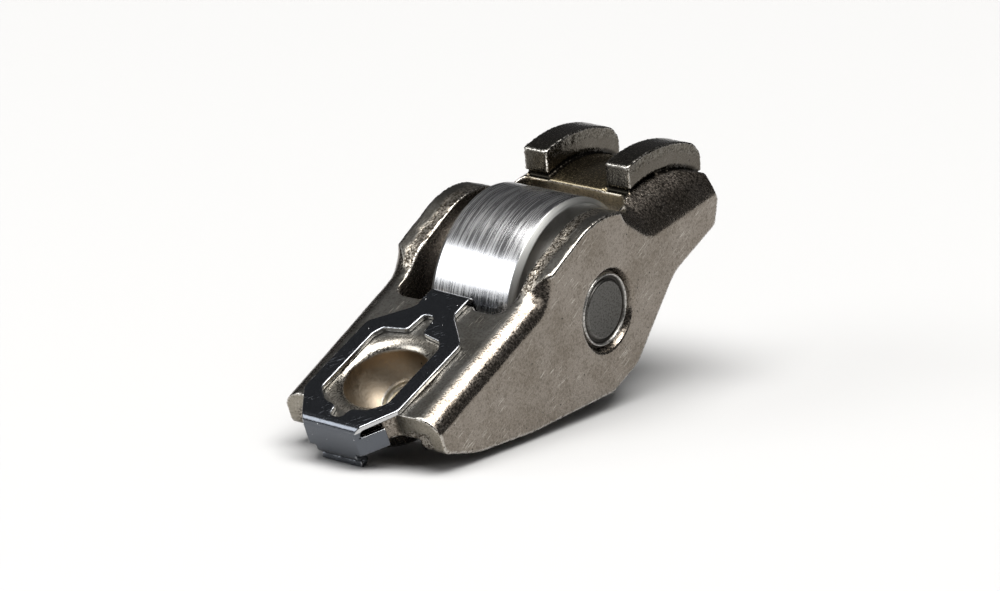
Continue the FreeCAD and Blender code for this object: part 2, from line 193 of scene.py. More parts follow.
torn_top = 5.8 * MM
torn_wander = 0.25 * MM
torn_fade = 0.25 * MM
wander_cell = 1.1 * MM
torn_depth = 0.09 * MM
torn_cell = 0.5 * MM
dimple_height = 0.010 * MM
dimple_cell = 1.6 * MM
small_dimple_height = 0.006 * MM
grain_height = 0.007 * MM
grain_cell = 0.45 * MM
thin_fade = 0.06 * MM
sump_fade = 0.10 * MM
recess_fade = 0.15 * MM
mask_fade = 0.2 * MM
rim_fade = 0.3 * MM
soft_fade = 0.5 * MM
ear_fade = 1.0 * MM
bowl_rim_fade = 1.3 * MM

joint = {j["name"]: j for j in frame["joints"]}["roller_spin"]
roller_axis = np.array(joint["pos_m"], float)
mount = {m["name"]: m for m in frame["record"]["mounts"]}["ball_socket"]
web_up = np.array(mount["axis"], float)
pitch = math.atan2(-web_up[0], web_up[2])
lever_turn = np.array([
    [math.cos(pitch), 0.0, math.sin(pitch)],
    [0.0, 1.0, 0.0],
    [-math.sin(pitch), 0.0, math.cos(pitch)],
])


def to_lever(points):
    """Points of the frame in the lever's own axes."""
    return (points - roller_axis) @ lever_turn.T


def from_lever(points):
    """Points in the lever's own axes, back in the frame."""
    return points @ lever_turn + roller_axis


def read_points(mesh):
    """A mesh's points as rows of three numbers."""
    flat = np.empty(len(mesh.vertices) * 3, np.float32)
    mesh.vertices.foreach_get("co", flat)
    return flat.reshape(-1, 3).astype(float)


def fine_mesh(node, voxel):
    """A CAD node's surface as an even net of squares: merged, turned so that its flats lie
    along the net, wrapped anew with squares one voxel wide, and each point of the net drawn
    to the nearest point of the CAD surface."""
    merged = bmesh.new()
    merged.from_mesh(frame["nodes"][node].data)
    bmesh.ops.remove_doubles(merged, verts=merged.verts, dist=merge_reach)
    mesh = bpy.data.meshes.new(node + "_merged")
    merged.to_mesh(mesh)
    merged.free()
    mesh.vertices.foreach_set("co", to_lever(read_points(mesh)).astype(np.float32).ravel())
    carrier = bpy.data.objects.new(node + "_merged", mesh)
    scene.collection.objects.link(carrier)
    wrap = carrier.modifiers.new("wrap", "REMESH")
    wrap.mode = "VOXEL"
    wrap.voxel_size = voxel
    seen = carrier.evaluated_get(bpy.context.evaluated_depsgraph_get())
    net = bpy.data.meshes.new_from_object(seen)
    bpy.data.objects.remove(carrier)
    triangles = [tuple(face.vertices) for face in mesh.polygons]
    surface = BVHTree.FromPolygons([v.co for v in mesh.vertices], triangles)
    points = np.array([surface.find_nearest(v.co)[0] for v in net.vertices], float)
    squares = np.array([face.vertices[:] for face in net.polygons], np.int64)
    return points, squares


def net_links(squares):
    """Each edge of the net once, as pairs of point numbers."""
    pairs = np.concatenate([squares[:, [k, (k + 1) % 4]] for k in range(4)])
    return np.unique(np.sort(pairs, axis=1), axis=0)


def net_mean(values, links):
    """For each point, the mean of a value over the points that it is linked to."""
    total = np.zeros_like(values)
    count = np.zeros(len(values))
    for a, b in (links.T, links.T[::-1]):
        np.add.at(total, a, values[b])
        np.add.at(count, a, 1.0)
    return total / (count[:, None] if values.ndim > 1 else count)


def smoothed(points, links, rounds, there=0.5, back=-0.44):
    """Moves each point towards the mean of its neighbours, then most of the way back, so that
    edges grow round and the part keeps its size."""
    for _ in range(rounds):
        for share in (there, back):
            points = points + share * (net_mean(points, links) - points)
    return points


def net_normals(points, squares):
    """Unit normal at each point: the sum of its squares' normals, each diagonal by diagonal."""
    a, b, c, d = (points[squares[:, k]] for k in range(4))
    across = np.cross(c - a, d - b)
    total = np.zeros_like(points)
    for k in range(4):
        np.add.at(total, squares[:, k], across)
    return total / np.linalg.norm(total, axis=1, keepdims=True)


def lattice_noise(points, cell, seed):
    """Smooth noise from -1 to 1: random values on a cubic lattice of that cell, blended with
    the smoothstep of the place inside the cell. Each value is a hash of its corner and the
    seed."""
    place = points / cell
    base = np.floor(place).astype(np.int64)
    inside = place - base
    blend = inside * inside * (3 - 2 * inside)
    value = np.zeros(len(points))
    for corner in np.ndindex(2, 2, 2):
        spot = base + corner
        mixed = spot[:, 0] * 73856093 ^ spot[:, 1] * 19349663 ^ spot[:, 2] * 83492791 ^ seed
        mixed = (mixed * 2654435761) & 0xFFFFFFFF
        mixed = ((mixed ^ (mixed >> 15)) * 2246822519) & 0xFFFFFFFF
        random = ((mixed ^ (mixed >> 13)) & 0xFFFF) / 32767.5 - 1
        weight = np.prod(np.where(np.array(corner) == 1, blend, 1 - blend), axis=1)
        value += weight * random
    return value


def over(value, edge, fade=mask_fade):
    """1 from the edge up, 0 from one fade below it, and a smoothstep between."""
    t = np.clip((value - edge) / fade + 1, 0, 1)
    return t * t * (3 - 2 * t)


def under(value, edge, fade=mask_fade):
    """1 up to the edge, 0 from one fade above it, and a smoothstep between."""
    return over(-value, -edge, fade)


def crest(points, normals, links):
    """How far a point stands out of (+1) or lies in (-1) the surface round it: its distance
    from the mean of its neighbours, along the normal, itself averaged over the neighbours."""
    bulge = np.sum((points - net_mean(points, links)) * normals, axis=1)
    return np.clip(net_mean(bulge, links) / crest_reach, -1, 1)


def above_pallet(points):
    """Distance of a point outside the cylinder that the pallet is crowned to."""
    place = points - pallet_middle
    return np.hypot(place[:, 0], place[:, 2]) - pallet_radius


def cut_zone(points, normals):
    """1 on the faces that the punch cut: rims of the ears and shoulders, front ends and lower
    edges of the walls, and the tabs' sides. A face is told by the cosines of its normal."""
    x, y, z = points.T
    side = np.abs(y)
    across = np.abs(normals[:, 1])
    upward = normals[:, 2]
    in_wall = over(side, wall_inside + mask_fade / 2) * under(across, 0.2, 0.3)
    ear = in_wall * over(z, web_top + ear_rise, rim_fade) * under(x, ear_rear, ear_fade)
    near_shoulder = under(np.abs(x - shoulder_middle), shoulder_half, soft_fade)
    shoulder = in_wall * near_shoulder * over(upward, 0.5, 0.3)
    front = over(-normals[:, 0], 0.92, 0.17) * under(x, wall_front + front_skin)
    keel = in_wall * over(-upward, 0.4, 0.3)
    tab = over(side, tab_inside) * under(side, tab_outside)
    tab *= over(above_pallet(points), tab_rise) * over(across, 0.95, 0.15)
    return np.clip(ear + shoulder + front + keel + tab, 0, 1)


def torn_zone(points, cut):
    """1 on the part of a cut face that tore instead of shearing: the inner half of a wall's
    edge, on its front end only the lower part, and the top of a tab's side. The border
    wanders with a noise."""
    x, y, z = points.T
    wander = torn_wander * lattice_noise(points, wander_cell, seed=5)
    in_wall = under(np.abs(y) - wander, torn_outside, rim_fade)
    at_front = under(x, wall_front + front_depth)
    in_wall *= 1 - at_front * over(z + wander, torn_top, soft_fade)
    rise = above_pallet(points)
    is_tab = over(rise, tab_foot_rise) * over(x, tab_front + mask_fade)
    on_tab = over(rise + wander, tab_torn_rise, torn_fade)
    return cut * (is_tab * on_tab + (1 - is_tab) * in_wall)


def socket_masks(points):
    """Masks round the ball socket: its flared mouth, the bowl, the bowl's upper rim, the flat
    leaning sump at its bottom and the sump's edge. The sump is the disc within its radius of
    the leaning axis, from the depth at which that cylinder meets the bowl."""
    place = points - bowl_middle
    z = points[:, 2]
    flare = under(np.hypot(place[:, 0], place[:, 1]), flare_reach, 2 * mask_fade)
    flare *= over(z, flare_low, soft_fade)
    away = np.linalg.norm(place, axis=1)
    bowl = under(away, bowl_radius + bowl_skin, thin_fade)
    rim = bowl * over(z, web_top - bowl_rim_depth, bowl_rim_fade)
    depth = -place @ np.array([-math.sin(sump_lean), 0.0, math.cos(sump_lean)])
    off_axis = np.sqrt(np.maximum(away ** 2 - depth ** 2, 0))
    deep = over(depth, math.sqrt(bowl_radius ** 2 - sump_radius ** 2))
    sump = deep * under(off_axis, sump_radius - sump_fade / 2, sump_fade)
    edge = deep * under(np.abs(off_axis - sump_radius), sump_edge_half, sump_fade)
    return {"flare": flare, "bowl": np.maximum(bowl, sump), "rim": rim, "sump": sump, "edge": edge}


def valve_masks(points, normals):
    """Masks at the valve end: the pallet, the two tabs, the seam between each tab and the
    pallet under it, and the step in front of the pallet. The walls' front ends, which face
    the same way, take a quarter of the step's tone."""
    x = points[:, 0]
    side = np.abs(points[:, 1])
    rise = above_pallet(points)
    pallet = under(np.abs(rise), pallet_skin, pallet_fade)
    pallet *= under(side, tab_outside - soft_fade, soft_fade)
    tab = over(rise, tab_rise) * over(x, tab_front, soft_fade)
    tab *= under(side, tab_outside + mask_fade / 2)
    beside_tab = np.maximum(side - tab_outside, tab_inside - side)
    seam = under(np.abs(rise - seam_middle), seam_half / 2, seam_half / 2)
    seam *= under(beside_tab, seam_skin, seam_fade) * over(x, tab_front + rim_fade, rim_fade)
    # The step mask says where light is painted: the face in front of the pallet, and the walls' front ends.
    forward = over(-normals[:, 0], 0.9, 0.2)
    front_step = under(np.abs(x - pallet_front), pallet_front_half, rim_fade)
    wall_end = 0.25 * under(x, wall_front + front_depth)
    return {"pallet": pallet, "tab": tab, "seam": seam, "step": forward * (front_step + wall_end)}


def wall_masks(points, normals):
    """Masks on the walls: tilt on all that leans sideways, bend on the curve from web to wall,
    and the shallow recess that the staking tool pressed round each end of the axle."""
    lean = np.abs(normals[:, 1])
    tilt = over(lean, 0.35, 0.23)
    bend = tilt * under(lean, 0.80, 0.16)
    recess = under(np.hypot(points[:, 0], points[:, 2]), recess_radius, recess_fade)
    recess *= over(np.abs(points[:, 1]), wall_outside - recess_reach)
    return {"tilt": tilt, "bend": bend, "recess": recess}


def lever_relief(points, masks):
    """Height above the smooth surface: dimples of two sizes and grain, none of them in the
    bowl or on the pallet, less the torn zone's uneven depth and the seams'."""
    relief = dimple_height * lattice_noise(points, dimple_cell, seed=11)
    relief += small_dimple_height * lattice_noise(points, dimple_cell / 2, seed=12)
    relief += grain_height * lattice_noise(points, grain_cell, seed=14)
    relief *= 1 - np.maximum(masks["bowl"], masks["pallet"])
    uneven = 0.5 + 0.5 * lattice_noise(points, torn_cell, seed=13)
    return relief - torn_depth * masks["torn"] * uneven - seam_depth * masks["seam"]


def add_piece(name, points, faces, material, body, stands_for, masks=()):
    """A mesh piece with smooth faces and its masks, that rides a body in place of CAD nodes."""
    mesh = bpy.data.meshes.new(name)
    mesh.from_pydata(points.tolist(), [], faces)
    mesh.shade_smooth()
    for zone, values in dict(masks).items():
        layer = mesh.attributes.new(zone, "FLOAT", "POINT")
        layer.data.foreach_set("value", values.astype(np.float32))
    mesh.materials.append(material)
    piece = bpy.data.objects.new(name, mesh)
    scene.collection.objects.link(piece)
    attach(piece, body)
    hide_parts(*stands_for)


lever_points, lever_squares = fine_mesh("lever_body", lever_voxel)
lever_links = net_links(lever_squares)
lever_points = smoothed(lever_points, lever_links, lever_smoothing)
lever_normals = net_normals(lever_points, lever_squares)
lever_cut = cut_zone(lever_points, lever_normals)
lever_masks = {
    **socket_masks(lever_points),
    **valve_masks(lever_points, lever_normals),
    **wall_masks(lever_points, lever_normals),
    "crest": crest(lever_points, lever_normals, lever_links),
    "torn": torn_zone(lever_points, lever_cut),
}
lever_points = lever_points + lever_normals * lever_relief(lever_points, lever_masks)[:, None]
lever_points[:, 1] -= np.sign(lever_points[:, 1]) * recess_depth * lever_masks["recess"]


def wire(tree, target, value):
    """Gives an input a value, or joins an output to it."""
    if isinstance(value, bpy.types.NodeSocket):
        tree.links.new(value, target)
    else:
        target.default_value = value


def put(tree, kind, inputs=(), **settings):
    """A shader node with its settings and inputs."""
    node = tree.nodes.new("ShaderNode" + kind)
    for name, value in settings.items():
        setattr(node, name, value)
    for name, value in dict(inputs).items():
        wire(tree, node.inputs[name], value)
    return node


def maths(tree, operation, a, b=0.0, c=0.0):
    """A value worked out from up to three others."""
    return put(tree, "Math", {0: a, 1: b, 2: c}, operation=operation).outputs[0]


def times(tree, a, b):
    """a * b"""
    return maths(tree, "MULTIPLY", a, b)


def times_plus(tree, a, b, c):
    """a * b + c"""
    return maths(tree, "MULTIPLY_ADD", a, b, c)


def most(tree, *values):
    """The greatest of the values."""
    greatest = values[0]
    for value in values[1:]:
        greatest = maths(tree, "MAXIMUM", greatest, value)
    return greatest


def ramp(tree, value, low, high, low_out=0.0, high_out=1.0):
    """A value spread from low..high to low_out..high_out, held at both ends."""
    sizes = {"Value": value, "From Min": low, "From Max": high}
    sizes.update({"To Min": low_out, "To Max": high_out})
    return put(tree, "MapRange", sizes, interpolation_type="SMOOTHSTEP").outputs["Result"]


def mix_tone(tree, share, a, b, blend="MIX"):
    """Colour a where the share is 0. Where it is 1, colour b, or a * b if blend is MULTIPLY."""
    node = put(tree, "Mix", data_type="RGBA", blend_type=blend, clamp_factor=True)
    for place, value in ((0, share), (6, a), (7, b)):
        wire(tree, node.inputs[place], value)
    return node.outputs[2]


def mask(tree, name):
    """One of the mesh's own masks, by its name."""
    return put(tree, "Attribute", attribute_name=name).outputs["Fac"]


def object_place(tree):
    """Object coordinates in millimetres."""
    spot = put(tree, "TexCoord").outputs["Object"]
    return put(tree, "Mapping", {"Vector": spot, "Scale": (1 / MM, 1 / MM, 1 / MM)}).outputs[0]


def steel_surface(tree, shader, colour, rough, height, bump_height, strength=1.0):
    """Wires a metal's colour, roughness and fine relief to its shader."""
    wire(tree, shader.inputs["Base Color"], colour)
    shader.inputs["Metallic"].default_value = 1.0
    wire(tree, shader.inputs["Roughness"], rough)
    relief = {"Height": height, "Distance": bump_height, "Strength": strength}
    wire(tree, shader.inputs["Normal"], put(tree, "Bump", relief).outputs["Normal"])


def new_group(name, inputs, outputs):
    """An empty node group, with its input and output nodes."""
    group = bpy.data.node_groups.new(name, "ShaderNodeTree")
    for socket, kind, value in inputs:
        made = group.interface.new_socket(socket, in_out="INPUT", socket_type=kind)
        if value is not None:
            made.default_value = value
    for socket, kind in outputs:
        group.interface.new_socket(socket, in_out="OUTPUT", socket_type=kind)
    return group, group.nodes.new("NodeGroupInput"), group.nodes.new("NodeGroupOutput")


def use_group(tree, group, inputs):
    """The outputs of a node group, used with these inputs."""
    node = tree.nodes.new("ShaderNodeGroup")
    node.node_tree = group
    for name, value in inputs.items():
        wire(tree, node.inputs[name], value)
    return node.outputs


def make_blasted_grain(broad_scale=0.06, broad_share=0.6):
    """Grain of a blasted surface: Height is noise one cell wide, and Tone is the mean of it
    and of a noise with much wider spots."""
    sockets = [("Place", "NodeSocketVector", None), ("Cell", "NodeSocketFloat", 0.2)]
    results = [("Height", "NodeSocketFloat"), ("Tone", "NodeSocketFloat")]
    group, start, end = new_group("blasted_grain", sockets, results)
    scale = maths(group, "DIVIDE", 1.0, start.outputs["Cell"])
    spots = {"Vector": start.outputs["Place"], "Scale": scale, "Detail": 1.0, "Roughness": 0.5}
    fine = put(group, "TexNoise", spots).outputs["Fac"]
    spots.update({"Scale": times(group, scale, broad_scale), "Detail": 5.0, "Roughness": 0.6})
    broad = put(group, "TexNoise", spots).outputs["Fac"]
    fine_part = times(group, fine, 1 - broad_share)
    wire(group, end.inputs["Height"], fine)
    wire(group, end.inputs["Tone"], times_plus(group, broad, broad_share, fine_part))
    return group


def make_pits(spread=(0.4, 1.2), brink=(0.6, 1.1)):
    """Scattered small pits: a round dot in each kept cell of a cell pattern. The cell's random
    colour says whether it is kept and how large its dot is, which fades out over its brink."""
    sockets = [
        ("Place", "NodeSocketVector", None),
        ("Spacing", "NodeSocketFloat", 1.0),
        ("Kept", "NodeSocketFloat", 0.3),
        ("Radius", "NodeSocketFloat", 0.12),
    ]
    group, start, end = new_group("pits", sockets, [("Mask", "NodeSocketFloat")])
    scale = maths(group, "DIVIDE", 1.0, start.outputs["Spacing"])
    cells = put(group, "TexVoronoi", {"Vector": start.outputs["Place"], "Scale": scale})
    chance = put(group, "SeparateColor", {"Color": cells.outputs["Color"]})
    kept = maths(group, "LESS_THAN", chance.outputs["Red"], start.outputs["Kept"])
    size = ramp(group, chance.outputs["Green"], 0.0, 1.0, *spread)
    size = times(group, start.outputs["Radius"], size)
    near = maths(group, "DIVIDE", cells.outputs["Distance"], size)
    wire(group, end.inputs["Mask"], times(group, kept, ramp(group, near, *brink, 1.0, 0.0)))
    return group


def make_scratches(hair_scale=(0.35, 9.0, 9.0), hair=(0.63, 0.69), patch=(0.5, 0.62)):
    """Sparse fine scratches: noise stretched to long hairs along one direction, kept only
    where a second, broad noise is high."""
    sockets = [("Place", "NodeSocketVector", None), ("Turn", "NodeSocketVector", None)]
    group, start, end = new_group("scratches", sockets, [("Mask", "NodeSocketFloat")])
    turn = {"Vector": start.outputs["Place"], "Rotation": start.outputs["Turn"]}
    turned = put(group, "Mapping", turn).outputs[0]
    drawn = put(group, "Mapping", {"Vector": turned, "Scale": hair_scale}).outputs[0]
    lines = put(group, "TexNoise", {"Vector": drawn, "Scale": 1.0, "Detail": 1.0})
    broad = put(group, "TexNoise", {"Vector": turned, "Scale": hair_scale[0], "Detail": 2.0})
    thin = ramp(group, lines.outputs["Fac"], *hair)
    some = ramp(group, broad.outputs["Fac"], *patch)
    wire(group, end.inputs["Mask"], times(group, thin, some))
    return group


blasted_grain = make_blasted_grain()
pits = make_pits()
scratches = make_scratches()
lever_grey = (0.165, 0.160, 0.148, 1.0)
# Painted light: the walls' sides and bends get a lighter, browner tone than the flats of the same steel.
lever_side_painted_light = (0.255, 0.224, 0.192, 1.0)
lever_dark = (0.040, 0.034, 0.027, 1.0)
patch_tone = (0.72, 0.70, 0.66, 1.0)
flare_tone = (0.32, 0.30, 0.265, 1.0)
# Painted light: the lighter tone of the face in front of the pallet.
step_painted_light = (0.66, 0.58, 0.44, 1.0)
torn_tone = (0.36, 0.33, 0.285, 1.0)
torn_dark = (0.075, 0.062, 0.047, 1.0)
# Light tone of worn crests, also used for the painted highlight on the sump's edge.
worn_crest_and_edge_highlight_tone = (0.62, 0.60, 0.56, 1.0)
pallet_tone = (0.17, 0.14, 0.088, 1.0)
# Painted shade: the dark tone laid over the tabs.
tab_shade_tone = (0.066, 0.060, 0.048, 1.0)
bowl_tone = (0.250, 0.214, 0.166, 1.0)
rim_tone = (0.185, 0.130, 0.078, 1.0)
sump_tone = (0.20, 0.175, 0.12, 1.0)
scratch_tone = (0.50, 0.47, 0.42, 1.0)
seam_shade_tone = (0.01, 0.009, 0.007, 1.0)
scratch_share = 0.8
tab_shade_share = 0.75
crest_share = 0.5
rim_share = 0.8
stain_share = 0.35
recess_shade_share = 0.6
# Dark speckle: a grain share everywhere, and extra painted shade on the bend where its highlight lies.
speckle_grain_and_shade = 0.25
bend_speckle_shade = 0.45
patch_range = (0.62, 0.35)
speckle_shade_range = (0.47, 0.33)
speckle_range = (0.42, 0.56)
crest_range = (0.5, 0.95)
crest_grain = (0.35, 0.5)
crease_shade_range = (-0.15, -0.8)
grain_range = (0.35, 0.65)
lever_rough = (0.19, 0.28)
flat_rough = 0.30
bowl_roughening = 0.24
bowl_smooth = 0.65
flare_smooth = 0.3
pit_depth = 0.8
torn_bump = 1.6
smooth_calm = 0.8
lever_bump = 0.014 * MM


def lever_steel():
    """Blasted case-hardened steel: warm grey with dark pits and fine scratches, bright on worn crests,
    speckled where it tore, brown and smooth in the socket and on the pallet. Painted light and shade
    are laid on it too: sides lighter than flats, dark speckle on the bend, darker tabs, a lighter step,
    a highlight on the sump's edge, and shade in creases, in the axle recess and in the seams."""
    material, shader = new_material("blasted_lever_steel")
    tree = material.node_tree
    place = object_place(tree)
    grain = use_group(tree, blasted_grain, {"Place": place, "Cell": 0.2})
    small = {"Place": place, "Spacing": 0.9, "Kept": 0.3, "Radius": 0.12}
    pit = use_group(tree, pits, small)["Mask"]
    hairs = use_group(tree, scratches, {"Place": place, "Turn": (0.3, 0.5, 0.2)})["Mask"]
    fine = grain["Height"]
    zone = {name: mask(tree, name) for name in lever_masks}

    # Painted light: where the surface leans sideways it is painted lighter and browner than the flats.
    colour = mix_tone(tree, zone["tilt"], lever_grey, lever_side_painted_light)
    colour = mix_tone(tree, zone["flare"], colour, flare_tone)
    # Painted light: the step's face in front of the pallet, and the walls' front ends a quarter as much, are
    # painted lighter.
    colour = mix_tone(tree, zone["step"], colour, step_painted_light)
    patches = ramp(tree, grain["Tone"], *patch_range)
    colour = mix_tone(tree, patches, colour, patch_tone, "MULTIPLY")
    # Dark speckle from the grain everywhere, and more on the bend: painted shade of the dimples in the bend's
    # highlight.
    speckle_shade_share = times_plus(tree, zone["bend"], bend_speckle_shade, speckle_grain_and_shade)
    dimples = times(tree, ramp(tree, fine, *speckle_shade_range), speckle_shade_share)
    colour = mix_tone(tree, dimples, colour, lever_dark)
    colour = mix_tone(tree, times(tree, hairs, scratch_share), colour, scratch_tone)
    speckle = mix_tone(tree, ramp(tree, fine, *speckle_range), torn_dark, torn_tone)
    colour = mix_tone(tree, zone["torn"], colour, speckle)
    # Painted shade: the tabs are darkened with a near-black tone.
    colour = mix_tone(tree, times(tree, zone["tab"], tab_shade_share), colour, tab_shade_tone)
    worn = ramp(tree, zone["crest"], *crest_range)
    worn = times(tree, worn, ramp(tree, fine, *crest_grain))
    colour = mix_tone(tree, times(tree, worn, crest_share), colour, worn_crest_and_edge_highlight_tone)

    bowl_colour = mix_tone(tree, times(tree, zone["rim"], rim_share), bowl_tone, rim_tone)
    bowl_colour = mix_tone(tree, zone["sump"], bowl_colour, sump_tone)
    stains = ramp(tree, grain["Tone"], *patch_range, 0.0, stain_share)
    bowl_colour = mix_tone(tree, stains, bowl_colour, rim_tone)
    colour = mix_tone(tree, zone["bowl"], colour, bowl_colour)
    colour = mix_tone(tree, zone["pallet"], colour, pallet_tone)
    colour = mix_tone(tree, pit, colour, lever_dark)
    # Painted shade: points that lie in the surface, in creases and hollows, are darkened, except in the sump.
    crease_shade = ramp(tree, zone["crest"], *crease_shade_range)
    crease_shade = times(tree, crease_shade, maths(tree, "SUBTRACT", 1.0, zone["sump"]))
    colour = mix_tone(tree, crease_shade, colour, lever_dark)
    # Painted highlight: a thin light line along the sump's edge.
    colour = mix_tone(tree, zone["edge"], colour, worn_crest_and_edge_highlight_tone)
    # Painted shade: the staked recess round each end of the axle is darkened.
    colour = mix_tone(tree, times(tree, zone["recess"], recess_shade_share), colour, lever_dark)
    # Painted shade: the seam between each tab and the pallet is painted near black.
    colour = mix_tone(tree, zone["seam"], colour, seam_shade_tone)

    bowl_part = times(tree, zone["bowl"], bowl_smooth)
    flare_part = times(tree, zone["flare"], flare_smooth)
    smooth = most(tree, bowl_part, zone["pallet"], flare_part)
    rough = ramp(tree, fine, *grain_range, *lever_rough)
    rough = times_plus(tree, zone["bowl"], bowl_roughening, rough)
    flat = maths(tree, "SUBTRACT", 1.0, most(tree, zone["tilt"], zone["tab"], smooth))
    rough = times_plus(tree, flat, maths(tree, "SUBTRACT", flat_rough, rough), rough)
    height = times_plus(tree, pit, -pit_depth, fine)
    height = times(tree, height, times_plus(tree, zone["torn"], torn_bump, 1.0))
    strength = times_plus(tree, smooth, -smooth_calm, 1.0)
    steel_surface(tree, shader, colour, rough, height, lever_bump, strength)
    return material


add_piece(
    "lever_pressing", from_lever(lever_points), lever_squares.tolist(), lever_steel(),
    "lever", ["lever_body"], lever_masks,
)

# Retaining clip: one strip of blued spring steel, blanked and bent round the nose of the
# lever. It holds the ball head in its socket, and its blanked edges are bare and bright.
clip_voxel = 0.09 * MM
clip_smoothing = 3
clip_top_skin = 0.02 * MM
clip_top_fade = 0.12 * MM
clip_blue = (0.112, 0.120, 0.134, 1.0)
clip_bare = (0.55, 0.55, 0.55, 1.0)
clip_speck = (0.75, 0.75, 0.75, 1.0)
clip_edge_range = (0.2, 0.8)
clip_crest_range = (0.3, 0.9)
clip_rough = (0.16, 0.21)
clip_mark_rough = 0.4
clip_hair_share = 0.5
clip_bump = 0.004 * MM

clip_points, clip_squares = fine_mesh("retaining_clip", clip_voxel)
clip_links = net_links(clip_squares)
clip_points = smoothed(clip_points, clip_links, clip_smoothing)
clip_normals = net_normals(clip_points, clip_squares)
clip_top = over(clip_points[:, 2], web_top + clip_top_skin, clip_top_fade)
clip_masks = {
    "crest": crest(clip_points, clip_normals, clip_links),
    "edge": clip_top * under(np.abs(clip_normals[:, 2]), 0.2, 0.35),
}


def clip_steel():
    """Blued steel: near black with fine specks and scratches, bare along its blanked edges."""
    material, shader = new_material("blued_clip_steel")
    tree = material.node_tree
    place = object_place(tree)
    fine = use_group(tree, blasted_grain, {"Place": place, "Cell": 0.12})["Height"]
    small = {"Place": place, "Spacing": 0.5, "Kept": 0.15, "Radius": 0.10}
    specks = use_group(tree, pits, small)["Mask"]
    hairs = use_group(tree, scratches, {"Place": place, "Turn": (0.2, 0.4, 0.9)})["Mask"]
    colour = mix_tone(tree, specks, clip_blue, clip_speck)
    bare = ramp(tree, mask(tree, "edge"), *clip_edge_range)
    colour = mix_tone(tree, bare, colour, clip_bare)
    worn = ramp(tree, mask(tree, "crest"), *clip_crest_range)
    colour = mix_tone(tree, worn, colour, clip_bare)
    marked = most(tree, specks, times(tree, hairs, clip_hair_share))
    rough = ramp(tree, fine, *grain_range, *clip_rough)
    rough = times_plus(tree, marked, clip_mark_rough, rough)
    steel_surface(tree, shader, colour, rough, fine, clip_bump)
    return material


add_piece(
    "spring_clip", from_lever(clip_points), clip_squares.tolist(), clip_steel(),
    "lever", ["retaining_clip"], clip_masks,
)

# Axle: a hardened pin pressed through both walls. Each end has a raised ring, spread by the
# staking tool, round a flat matt disc with a groove between them.
turned_steps = 192
axle_low, axle_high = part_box("axle_pin")
axle_radius = (axle_high.z - axle_low.z) / 2
axle_end = axle_high.y - 0.24 * MM
axle_disc = 2.75 * MM
axle_groove_end = 3.12 * MM
axle_grey = (0.115, 0.112, 0.105, 1.0)
axle_ring_grey = (0.50, 0.485, 0.46, 1.0)
# Painted shade for the groove between disc and ring; also the tone of dark specks.
axle_groove_shade_and_specks = (0.035, 0.032, 0.028, 1.0)
axle_speck_share = 0.6
axle_rough = 0.5
axle_burnish = 0.22
axle_bump = 0.012 * MM


def rounded_profile(corners, radius, steps=4):
    """Profile of (radius, y) with each corner turned into an arc: the arc's points lie on the
    quadratic curve between the two points that are one radius away from the corner."""
    corners = np.array(corners, float)
    path = []
    for k, corner in enumerate(corners):
        before = corners[k - 1] - corner
        after = corners[(k + 1) % len(corners)] - corner
        run = min(radius, np.linalg.norm(before) / 2.01, np.linalg.norm(after) / 2.01)
        start = corner + before / np.linalg.norm(before) * run
        end = corner + after / np.linalg.norm(after) * run
        t = np.linspace(0, 1, steps)[:, None]
        path.append((1 - t) ** 2 * start + 2 * t * (1 - t) * corner + t ** 2 * end)
    return np.concatenate(path)


def mirrored(half):
    """A half profile of (radius, y) led down one side and back up the other."""
    return [(r, -y) for r, y in half] + [(r, y) for r, y in reversed(half)]


def turned_ring(profile, centre, steps):
    """A closed profile of (radius, y) carried round an axis along Y: the point at angle a lies
    at centre + radius * (sin a, 0, cos a) + y."""
    angle = np.arange(steps) * 2 * math.pi / steps
    radius, y = np.array(profile).T
    grid = np.empty((steps, len(radius), 3))
    grid[..., 0] = centre[0] + np.sin(angle)[:, None] * radius
    grid[..., 1] = centre[1] + y
    grid[..., 2] = centre[2] + np.cos(angle)[:, None] * radius
    count = len(radius)
    i, j = np.meshgrid(np.arange(steps), np.arange(count), indexing="ij")
    next_i = (i + 1) % steps
    next_j = (j + 1) % count
    ring = [(i, j), (next_i, j), (next_i, next_j), (i, next_j)]
    faces = np.stack([a * count + b for a, b in ring], -1)
    return grid.reshape(-1, 3), faces.reshape(-1, 4)


def turned_solid(profile, centre, steps):
    """A profile that starts and ends on the axis carried round it, its two ends closed by
    fans of triangles about single points."""
    profile = np.array(profile)
    points, faces = turned_ring(profile[1:-1], centre, steps)
    count = len(profile) - 2
    faces = faces[(np.arange(len(faces)) % count) != count - 1]
    ends = [np.array(centre, float) + (0, y, 0) for y in (profile[0][1], profile[-1][1])]
    first = np.full(steps, len(points))
    here = np.arange(steps) * count
    there = np.roll(here, -1)
    start_fan = np.stack([first, there, here], -1)
    end_fan = np.stack([first + 1, here + count - 1, there + count - 1], -1)
    return np.vstack([points, ends]), faces.tolist() + start_fan.tolist() + end_fan.tolist()


